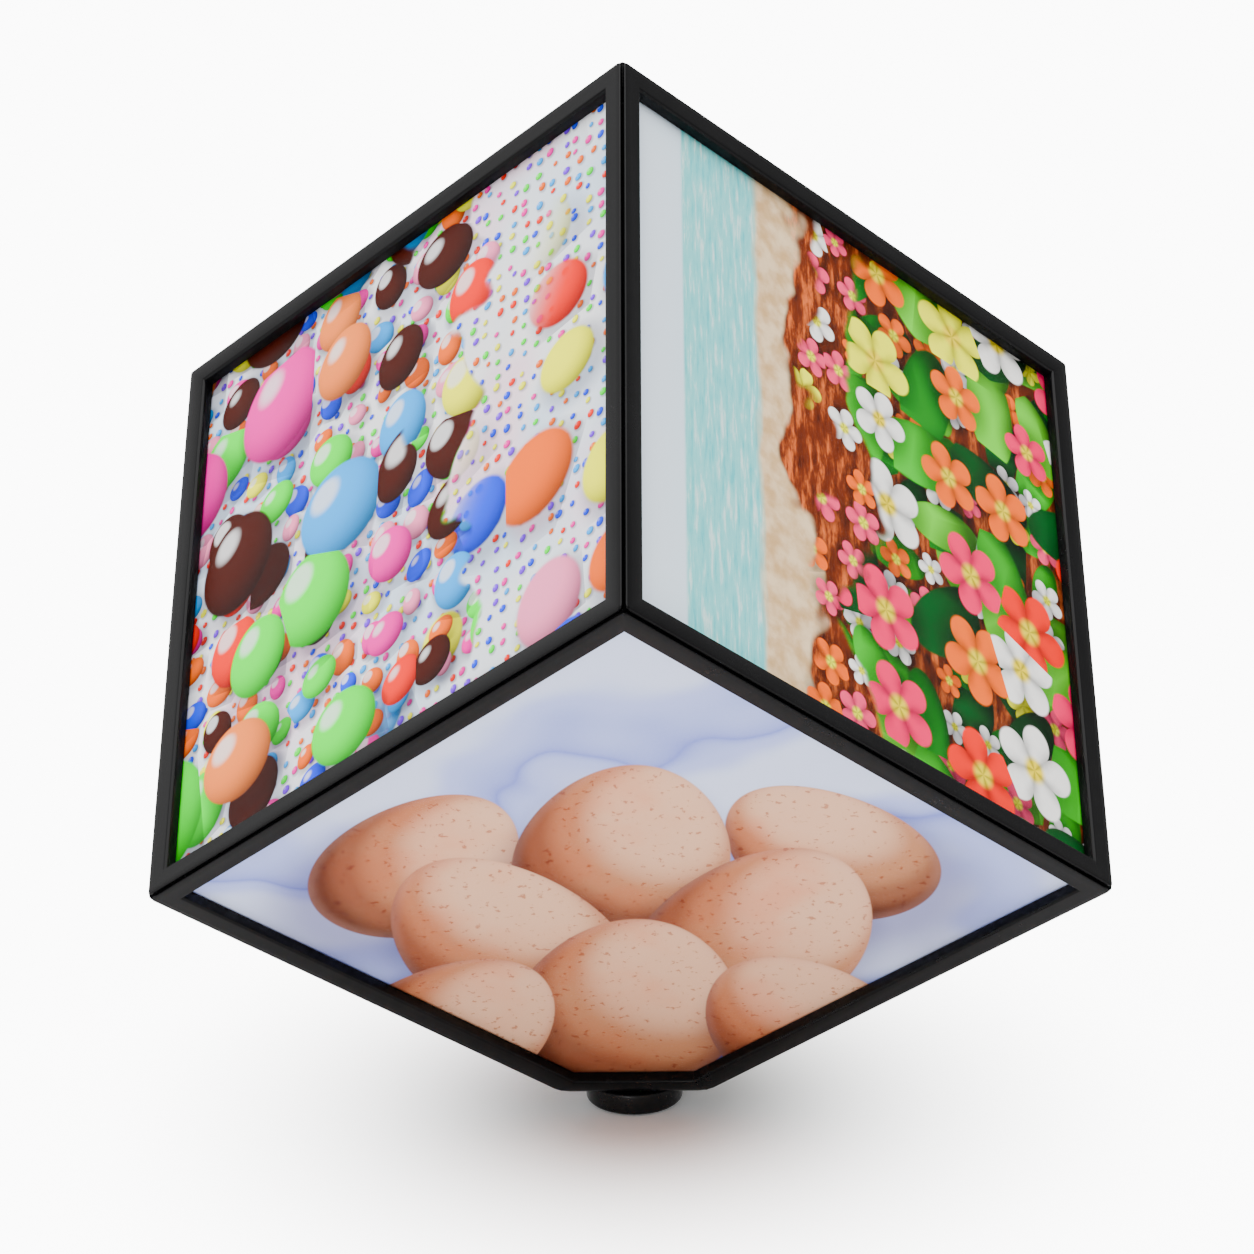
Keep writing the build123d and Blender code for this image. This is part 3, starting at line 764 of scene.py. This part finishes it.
pink_cast = ramp_between(tree, noise(tree, pink_view, scale=1.3), 0.52, 0.66)
cloth = blend(tree, blue_cast, dye(252, 252, 253), dye(232, 241, 250))
cloth = blend(tree, pink_cast, cloth, dye(252, 236, 243))
heap_edge = maths(tree, "ADD", x, waver(tree, view, scale=2.3, detail=2.0, reach=0.45))
heap = ramp_between(tree, heap_edge, 0.0, -0.04)
fringe = ramp_between(tree, heap_edge, 0.34, 0.3)
corner = ramp_between(tree, maths(tree, "MULTIPLY_ADD", y, -0.55, x), 0.25, 0.6)
everywhere = None
layers = (
    (pearls, 0.3, everywhere, (blue, pink, yellow, green, sky_blue, red, violet, orange)),
    (paper_rounds, 0.0, corner, (yellow, orange, yellow, sky_blue, blush, red, blue, yellow)),
    (beans, sweet_glint, fringe, (sky_blue, yellow, pink, orange, blush, green, blue)),
    (drops, sweet_glint, fringe, (cocoa, green, caramel, pink, cocoa, sky_blue, yellow, red)),
    (boiled_ones, sweet_glint, heap, (green, cocoa, pink, caramel, sky_blue, cocoa, green, pink)),
)
picture = cloth
for sizes, glint, region, colours in layers:
    picture = strew(tree, view, picture, colours, glint, region, **sizes)
finish_print(material, tree, shader, picture, "upper_left")


# Flowers strewn over the picture, one to a cell, with a heart, folded petals and fine veins
flower_smallest = 0.65
flower_largest = 1.05
flower, given, gives = new_effect(
    "strewn_flowers",
    [
        ("View", "Vector", None),
        ("Scale", "Float", 3.0),
        ("Radius", "Float", 0.45),
        ("Seed", "Float", 0.0),
        ("Petals", "Float", 5.0),
    ],
    [("Mask", "Float"), ("Shade", "Float"), ("Heart", "Float"), ("Pick", "Float"), ("Shadow", "Float")],
)
from_middle, random = scatter(flower, given)
x, y = parts_of(flower, from_middle)
own_turn = maths(flower, "MULTIPLY", random["Green"], 2 * math.pi)
angle = maths(flower, "ADD", maths(flower, "ARCTAN2", y, x), own_turn)
own_size = spread_over(flower, random["Blue"], flower_smallest, flower_largest)
size = maths(flower, "MULTIPLY", given["Radius"], own_size)
out = maths(flower, "DIVIDE", vectors(flower, "LENGTH", from_middle), size)
half_petals = maths(flower, "MULTIPLY", given["Petals"], 0.5)
wave = maths(flower, "ABSOLUTE", maths(flower, "COSINE", maths(flower, "MULTIPLY", angle, half_petals)))
petal_reach = spread_over(flower, maths(flower, "POWER", wave, 0.6), 0.5, 1.0)
across = maths(flower, "DIVIDE", out, petal_reach)
veins = maths(flower, "MULTIPLY", noise(flower, from_middle, scale=9.0, detail=3.0), 0.25)
fold = maths(flower, "MULTIPLY_ADD", wave, 0.4, maths(flower, "MULTIPLY_ADD", out, 0.25, veins))
feed(flower, gives["Mask"], ramp_between(flower, across, 0.93, 1.0, to_low=1.0, to_high=0.0))
feed(flower, gives["Shade"], ramp_between(flower, fold, 0.1, 0.75, to_low=0.45, to_high=1.1))
feed(flower, gives["Heart"], ramp_between(flower, out, 0.16, 0.34, to_low=1.0, to_high=0.0))
feed(flower, gives["Pick"], random["Red"])
feed(flower, gives["Shadow"], ramp_between(flower, out, 0.7, 1.5, to_low=0.6, to_high=0.0))


def plant(tree, view, under, colours, heart, region=None, **sizes):
    """Lay one layer of flowers over a picture, all with a heart of one colour."""
    layer = place_effect(tree, flower, View=view, **sizes)
    tint = blend(tree, layer["Heart"], palette(tree, layer["Pick"], *colours), heart)
    shaded = blend(tree, 1.0, tint, layer["Shade"], "MULTIPLY")
    return lay_over(tree, under, layer, shaded, dye(70, 66, 80), region)


# Flowers by the sea: pale sky, a band of aqua water, wet sand, then driftwood and a bank of flowers
leaf_greens = (dye(44, 120, 52), dye(88, 168, 70), dye(28, 84, 48), dye(130, 190, 88))
far_flowers = (orange, white, dye(240, 120, 150), yellow)
near_flowers = (red, yellow, dye(236, 74, 130), orange, white)
material, tree, shader, view = print_finish("upper_right")
y = parts_of(tree, view)[1]
sky_height = maths(tree, "MULTIPLY_ADD", y, 2.0, -1.0)
sky = gradient(tree, sky_height, (0.0, dye(226, 240, 246)), (1.0, dye(238, 244, 250)))
ripple_view = vectors(tree, "MULTIPLY", view, (3.0, 26.0, 1.0))
ripple = noise(tree, ripple_view, scale=2.0, detail=5.0, roughness=0.65)
water = gradient(
    tree, ripple, (0.3, dye(132, 196, 200)), (0.5, dye(168, 216, 216)), (0.68, dye(228, 242, 240))
)
picture = blend(tree, ramp_between(tree, y, 0.76, 0.775), water, sky)
surf_view = vectors(tree, "MULTIPLY", view, (2.0, 9.0, 1.0))
shore = maths(tree, "ADD", y, waver(tree, surf_view, scale=2.0, detail=4.0, reach=0.03))
sand_grain = noise(tree, view, scale=14.0, detail=5.0)
sand = gradient(tree, sand_grain, (0.3, dye(206, 184, 156)), (0.7, dye(236, 222, 200)))
picture = blend(tree, ramp_between(tree, shore, 0.42, 0.46), sand, picture)
wood_view = vectors(tree, "MULTIPLY", view, (2.4, 10.0, 1.0))
wood = gradient(
    tree,
    noise(tree, wood_view, scale=2.2, detail=6.0, roughness=0.7),
    (0.28, dye(46, 26, 20)),
    (0.48, dye(112, 68, 46)),
    (0.62, dye(196, 134, 96)),
    (0.8, dye(232, 184, 146)),
)
logs = maths(tree, "ADD", y, waver(tree, view, scale=1.7, detail=3.0, reach=0.45))
picture = blend(tree, ramp_between(tree, logs, 0.30, 0.26), picture, wood)
bank_view = vectors(tree, "ADD", view, (4.0, 9.0, 0.0))
bank = maths(tree, "ADD", y, waver(tree, bank_view, scale=1.9, detail=3.0, reach=0.4))
near = ramp_between(tree, bank, 0.0, -0.05)
far = ramp_between(tree, bank, 0.22, 0.17)
picture = strew(tree, view, picture, leaf_greens, 0.0, near, Scale=4.2, Radius=0.42, Length=1.9, Seed=7.1)
picture = plant(tree, view, picture, far_flowers, yellow, far, Scale=5.4, Radius=0.46, Seed=15.2)
picture = strew(tree, view, picture, leaf_greens, 0.0, near, Scale=3.1, Radius=0.4, Length=2.0, Seed=31.4)
picture = plant(tree, view, picture, near_flowers, dye(252, 214, 80), near, Scale=2.9, Radius=0.5, Seed=2.6)
finish_print(material, tree, shader, picture, "upper_right")


# One egg, longer than it is wide and tapered to its upper end, with the shadow that it casts below
egg_light = 0.34
egg_length = 1.5
egg_taper = 0.13
egg, given, gives = new_effect(
    "one_egg",
    [
        ("View", "Vector", None),
        ("Middle", "Vector", None),
        ("Radius", "Float", 0.4),
        ("Turn", "Float", 0.0),
    ],
    [("Mask", "Float"), ("Shade", "Float"), ("Blush", "Float"), ("Rim", "Float"), ("Shadow", "Float")],
)
offset = vectors(egg, "SUBTRACT", given["View"], given["Middle"])
turned = add(egg, "VectorRotate", {"rotation_type": "Z_AXIS"}, Vector=offset, Angle=given["Turn"])
across, along = parts_of(egg, turned.outputs[0])
lean_y = maths(egg, "DIVIDE", along, maths(egg, "MULTIPLY", given["Radius"], egg_length))
width = maths(egg, "MULTIPLY", given["Radius"], maths(egg, "MULTIPLY_ADD", lean_y, -egg_taper, 1.0))
lean_x = maths(egg, "DIVIDE", across, width)
out = distance_out(egg, lean_x, lean_y)
light = facing_light(egg, lean_x, lean_y, dome(egg, out), egg_light)
patch = noise(egg, given["View"], scale=3.0, detail=3.0)
blush_side = maths(egg, "MULTIPLY_ADD", lean_x, -0.25, patch)
shadow_out = maths(egg, "MULTIPLY_ADD", lean_y, 0.3, out)
feed(egg, gives["Mask"], ramp_between(egg, out, 0.98, 1.0, to_low=1.0, to_high=0.0))
feed(egg, gives["Shade"], ramp_between(egg, light, -0.5, 1.0))
feed(egg, gives["Blush"], ramp_between(egg, blush_side, 0.35, 0.75))
feed(egg, gives["Rim"], ramp_between(egg, out, 0.86, 1.0, to_low=0.0, to_high=0.12))
feed(egg, gives["Shadow"], ramp_between(egg, shadow_out, 0.75, 1.35, to_low=0.65, to_high=0.0))

# Brown eggs on a lavender cloth: soft folds, and smooth long eggs in warm light, finely speckled
eggs = (
    (-0.66, 0.10, 0.30, 0.5),
    (0.62, 0.16, 0.29, -0.6),
    (-0.02, 0.16, 0.34, 0.12),
    (-0.40, -0.36, 0.36, -0.35),
    (0.40, -0.34, 0.37, 0.3),
    (-0.02, -0.78, 0.38, 0.1),
    (-0.62, -0.92, 0.34, 0.5),
    (0.58, -0.92, 0.33, -0.4),
)
cloth_folds = 7.0
cloth_creases = 4.3
lower_turn = 135
material, tree, shader, view = print_finish("lower_front", lower_turn)
x, y = parts_of(tree, view)
slope = maths(tree, "MULTIPLY_ADD", y, 0.8, maths(tree, "MULTIPLY", x, -0.5))
bend = maths(tree, "MULTIPLY_ADD", noise(tree, view, scale=1.2), 1.8, slope)
fold_wave = maths(tree, "SINE", maths(tree, "MULTIPLY", bend, cloth_folds))
fold = maths(tree, "MULTIPLY_ADD", fold_wave, 0.5, 0.5)
crease_wave = maths(tree, "ABSOLUTE", maths(tree, "SINE", maths(tree, "MULTIPLY", bend, cloth_creases)))
crease = maths(tree, "MULTIPLY", maths(tree, "POWER", crease_wave, 0.35), 0.5)
soft_fold = maths(tree, "MULTIPLY_ADD", fold, 0.45, crease)
linen = gradient(
    tree, soft_fold, (0.1, dye(150, 158, 206)), (0.5, dye(196, 203, 234)), (0.85, dye(226, 231, 247))
)
nap = noise(tree, view, scale=90.0, detail=3.0, roughness=0.7)
picture = blend(tree, maths(tree, "MULTIPLY", nap, 0.16), linen, dye(240, 242, 252))
speckles = noise(tree, view, scale=34.0, detail=3.0, roughness=0.6)
freckle = ramp_between(tree, speckles, 0.6, 0.66, to_low=0.0, to_high=0.6)
for across_share, up_share, radius_share, turn in eggs:
    middle = (across_share, up_share, 0.0)
    shell = place_effect(tree, egg, View=view, Middle=middle, Radius=radius_share, Turn=turn)
    tone = gradient(
        tree,
        shell["Shade"],
        (0.1, dye(104, 76, 62)),
        (0.45, dye(146, 114, 97)),
        (0.78, dye(186, 152, 130)),
        (1.0, dye(224, 198, 180)),
    )
    rosy = blend(tree, 1.0, tone, dye(240, 210, 198), "MULTIPLY")
    tone = blend(tree, maths(tree, "MULTIPLY", shell["Blush"], 0.5), tone, rosy)
    tone = blend(tree, freckle, tone, blend(tree, 1.0, tone, dye(176, 134, 112), "MULTIPLY"))
    tone = blend(tree, shell["Rim"], tone, dye(226, 200, 196))
    picture = lay_over(tree, picture, shell, tone, dye(128, 118, 150))
finish_print(material, tree, shader, picture, "lower_front")


# One ridge of hills: it hides what is below its crest, and fades in the mist further down
crest_above = 0.004
crest_below = 0.006
ridge, given, gives = new_effect(
    "ridge_line",
    [
        ("View", "Vector", None),
        ("Height", "Float", 0.0),
        ("Swell", "Float", 0.3),
        ("Scale", "Float", 1.5),
        ("Seed", "Float", 0.0),
    ],
    [("Mask", "Float"), ("Mist", "Float")],
)
x, y = parts_of(ridge, given["View"])
line = add(ridge, "CombineXYZ", None, X=x, Y=given["Seed"])
crest = noise(ridge, line.outputs[0], given["Scale"], detail=4.0)
top = maths(ridge, "MULTIPLY_ADD", maths(ridge, "SUBTRACT", crest, 0.5), given["Swell"], given["Height"])
below = maths(ridge, "SUBTRACT", top, y)
feed(ridge, gives["Mask"], ramp_between(ridge, below, -crest_above, crest_below))
feed(ridge, gives["Mist"], ramp_between(ridge, below, 0.0, 0.5, to_low=0.0, to_high=0.5))

# Hills at dusk: a warm sky over five ridges, each darker and nearer than the last
ridges = (
    (0.30, 0.5, 1.2, dye(150, 142, 178)),
    (0.10, 0.55, 1.5, dye(116, 112, 156)),
    (-0.15, 0.6, 1.1, dye(80, 88, 126)),
    (-0.45, 0.5, 1.7, dye(48, 66, 84)),
    (-0.80, 0.5, 1.3, dye(24, 40, 42)),
)
ridge_shift = 5.3
material, tree, shader, view = print_finish("upper_back")
y = parts_of(tree, view)[1]
sky_height = maths(tree, "MULTIPLY_ADD", y, 0.4, 0.45)
picture = gradient(
    tree, sky_height, (0.2, dye(252, 208, 150)), (0.5, dye(240, 176, 168)), (0.9, dye(140, 156, 206))
)
cloud_view = vectors(tree, "MULTIPLY", view, (1.0, 4.0, 1.0))
clouds = ramp_between(tree, noise(tree, cloud_view, scale=1.6, detail=5.0, roughness=0.6), 0.5, 0.68)
picture = blend(tree, maths(tree, "MULTIPLY", clouds, 0.7), picture, dye(254, 226, 204))
for row, (height_share, swell_share, ridge_scale, tone) in enumerate(ridges):
    hill = place_effect(
        tree,
        ridge,
        View=view,
        Height=height_share,
        Swell=swell_share,
        Scale=ridge_scale,
        Seed=row * ridge_shift,
    )
    picture = blend(tree, hill["Mask"], picture, blend(tree, hill["Mist"], tone, dye(214, 170, 164)))
finish_print(material, tree, shader, picture, "upper_back")

# Pebbles: worn stones of three sizes in shallow water
stones = (
    dye(126, 132, 140),
    dye(176, 168, 154),
    dye(84, 92, 102),
    dye(206, 204, 198),
    dye(150, 116, 96),
    dye(104, 120, 118),
)
stone_layers = (
    (0.1, {"Scale": 9.0, "Radius": 0.42, "Length": 1.2, "Seed": 5.5}),
    (0.1, {"Scale": 4.5, "Radius": 0.42, "Length": 1.25, "Seed": 9.1}),
    (0.12, {"Scale": 2.6, "Radius": 0.43, "Length": 1.2, "Seed": 1.7}),
)
material, tree, shader, view = print_finish("lower_right", lower_turn)
silt = noise(tree, view, scale=12.0, detail=5.0)
picture = gradient(tree, silt, (0.3, dye(58, 60, 62)), (0.7, dye(126, 118, 104)))
for glint, sizes in stone_layers:
    picture = strew(tree, view, picture, stones, glint, **sizes)
speckle = noise(tree, view, scale=40.0, detail=4.0, roughness=0.7)
picture = blend(tree, maths(tree, "MULTIPLY", speckle, 0.22), picture, dye(232, 230, 222))
finish_print(material, tree, shader, picture, "lower_right")

# Meadow: grass green with daisies, poppies and cornflowers
cornflower, poppy = dye(96, 118, 216), dye(224, 60, 40)
far_rows = {"Scale": 7.5, "Radius": 0.42, "Seed": 8.2, "Petals": 9.0}
middle_rows = {"Scale": 4.4, "Radius": 0.44, "Seed": 18.8, "Petals": 5.0}
near_rows = {"Scale": 2.7, "Radius": 0.44, "Seed": 27.9, "Petals": 11.0}
meadow_layers = (
    (far_rows, yellow, (white, dye(110, 130, 220), white)),
    (middle_rows, dye(60, 50, 30), (poppy, white, cornflower)),
    (near_rows, yellow, (white, dye(230, 66, 44))),
)
material, tree, shader, view = print_finish("lower_left", lower_turn)
blade_view = vectors(tree, "MULTIPLY", view, (9.0, 2.0, 1.0))
blades = noise(tree, blade_view, scale=3.0, detail=5.0, roughness=0.7)
picture = gradient(tree, blades, (0.3, dye(34, 74, 34)), (0.5, dye(86, 142, 56)), (0.7, dye(170, 200, 96)))
for sizes, heart, colours in meadow_layers:
    picture = plant(tree, view, picture, colours, heart, **sizes)
finish_print(material, tree, shader, picture, "lower_left")


# Studio
# A plain pale floor, a wide white ceiling light and two weak soft boxes. The floor glows for the camera
# alone, so that it looks plain white, and its glow fades out towards the foot: a painted shadow round the
# foot.

floor_half = 6.0
# Distances from the foot where the floor's painted shadow is darkest and where it ends
painted_shadow_core = 0.012
painted_shadow_end = 0.1
glow_strength = 9.0
room_strength = 0.65
ceiling_strength = 4.8
ceiling_spread = math.radians(70)
white_light = (1.0, 1.0, 1.0, 1.0)
floor_mesh = bmesh.new()
bmesh.ops.create_grid(floor_mesh, x_segments=1, y_segments=1, size=floor_half)
mesh = bpy.data.meshes.new("floor")
floor_mesh.to_mesh(mesh)
floor_mesh.free()
floor = bpy.data.objects.new("floor", mesh)
bpy.context.scene.collection.objects.link(floor)
material, tree, shader, position = new_finish("pale_floor", Roughness=0.7, Specular_IOR_Level=0.2)
cloud = noise(tree, position, scale=3.0)
feed(tree, shader.inputs["Base Color"], blend(tree, cloud, ink(246, 246, 246), ink(250, 250, 250)))
from_foot = vectors(tree, "LENGTH", position)
seen = add(tree, "LightPath").outputs["Is Camera Ray"]
# Painted shadow: the camera-only glow fades out near the foot, which darkens the floor round it
glow_less_painted_shadow = maths(tree, "MULTIPLY", ramp_between(tree, from_foot, painted_shadow_core, painted_shadow_end), seen)
shader.inputs["Emission Color"].default_value = white_light
feed(tree, shader.inputs["Emission Strength"], maths(tree, "MULTIPLY", glow_less_painted_shadow, glow_strength))
floor.data.materials.append(material)

world = bpy.data.worlds.new("studio")
bpy.context.scene.world = world
world.use_nodes = True
background = world.node_tree.nodes["Background"]
background.inputs["Color"].default_value = white_light
background.inputs["Strength"].default_value = room_strength


def softbox(name, azimuth, elevation, distance, size, watts):
    """A square soft light that looks at the cube."""
    light = bpy.data.lights.new(name, "AREA")
    light.size = size
    light.energy = watts
    lamp = bpy.data.objects.new(name, light)
    away = heading(math.radians(azimuth), math.radians(elevation))
    lamp.location = cube_middle + away * distance
    lamp.rotation_euler = away.to_track_quat("Z", "Y").to_euler()
    bpy.context.scene.collection.objects.link(lamp)


ceiling_light = bpy.data.lights.new("ceiling", "SUN")
ceiling_light.energy = ceiling_strength
ceiling_light.angle = ceiling_spread
ceiling = bpy.data.objects.new("ceiling", ceiling_light)
bpy.context.scene.collection.objects.link(ceiling)
softbox("left_box", azimuth=-115, elevation=25, distance=0.9, size=0.7, watts=1.5)
softbox("front_box", azimuth=-15, elevation=-2, distance=1.1, size=0.5, watts=9)


# Camera
# Fitted to the cube's edges in the 1254 by 1254 photograph: nearly square on, from a little above. Its
# distance and its target are shares of the cube's edge.

view_azimuth = math.radians(0.49)
view_elevation = math.radians(18.84)
view_roll = math.radians(-0.69)
distance_share = 5.910
target_side_share = -0.003
target_height_share = 0.852
film_width = 36
focal_length = 110.7
view_distance = distance_share * cube_edge
bottom_vertex = cube_middle.z - cube_half * math.sqrt(3)
target_height = bottom_vertex + target_height_share * cube_edge
target = Vector((target_side_share * cube_edge, 0, target_height))
back = heading(view_azimuth, view_elevation)
right = Vector((math.cos(view_azimuth), math.sin(view_azimuth), 0))
up = back.cross(right)
turned_right = right * math.cos(view_roll) + up * math.sin(view_roll)
turned_up = up * math.cos(view_roll) - right * math.sin(view_roll)
lens = bpy.data.cameras.new("camera")
lens.lens = focal_length
lens.sensor_width = film_width
lens.sensor_fit = "HORIZONTAL"
camera = bpy.data.objects.new("camera", lens)
camera.matrix_world = Matrix((turned_right, turned_up, back)).transposed().to_4x4()
camera.location = target + back * view_distance
bpy.context.scene.collection.objects.link(camera)
bpy.context.scene.camera = camera
